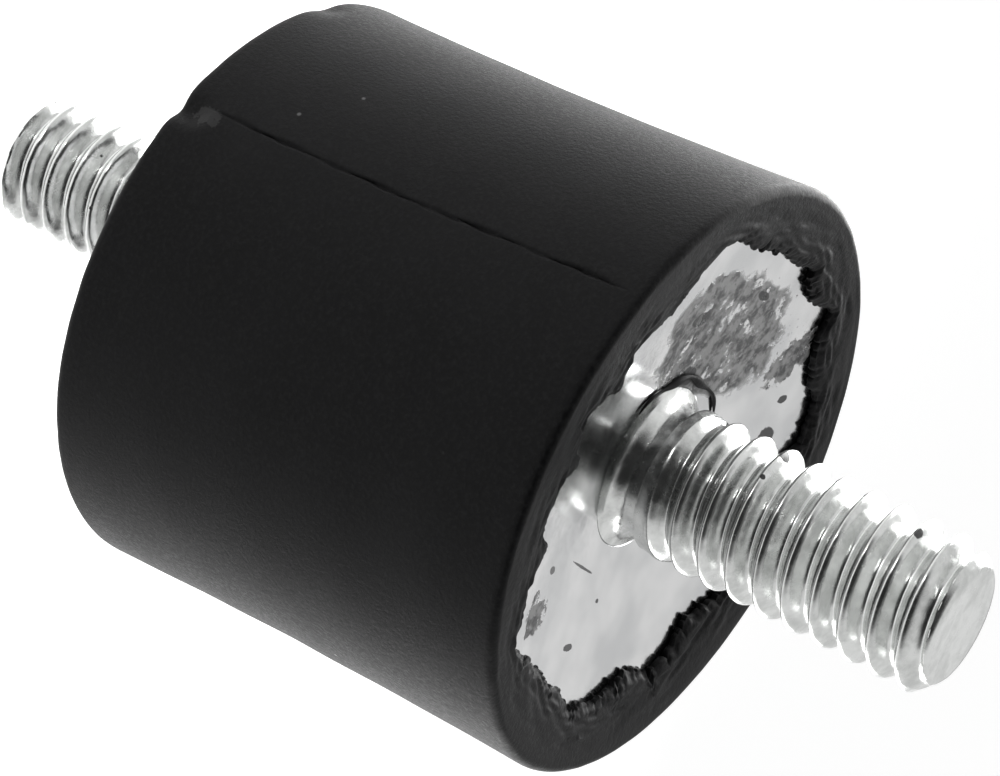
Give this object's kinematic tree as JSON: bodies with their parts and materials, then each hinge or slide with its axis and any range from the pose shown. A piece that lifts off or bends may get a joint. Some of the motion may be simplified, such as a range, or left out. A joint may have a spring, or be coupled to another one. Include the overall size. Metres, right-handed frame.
{
  "type": "bobbin vibration mount",
  "caption": "Cylindrical rubber vibration mount with dished steel end plates and a threaded stud at each end, for isolating machines and panels.",
  "frame": {"origin": "Centre of the rubber's lower end face, on the axis of the mount, where the lower stud leaves the rubber.", "axes": "+Z runs along the axis of the mount, from the lower stud to the upper stud. The mount is round about Z, so X and Y are free."},
  "size_m": [0.0254, 0.0254, 0.0473],
  "materials": {
    "rubber": "matt moulded black rubber with light dust and a shallow moulding crack",
    "plate_zinc": "bright zinc plating with smears of rubber left on it",
    "stud_zinc": "bright zinc plating on a rolled thread"
  },
  "bodies": {
    "root": {"rubber_body": "rubber", "upper_plate": "plate_zinc", "lower_plate": "plate_zinc", "upper_stud": "stud_zinc", "lower_stud": "stud_zinc"}
  },
  "joints": []
}
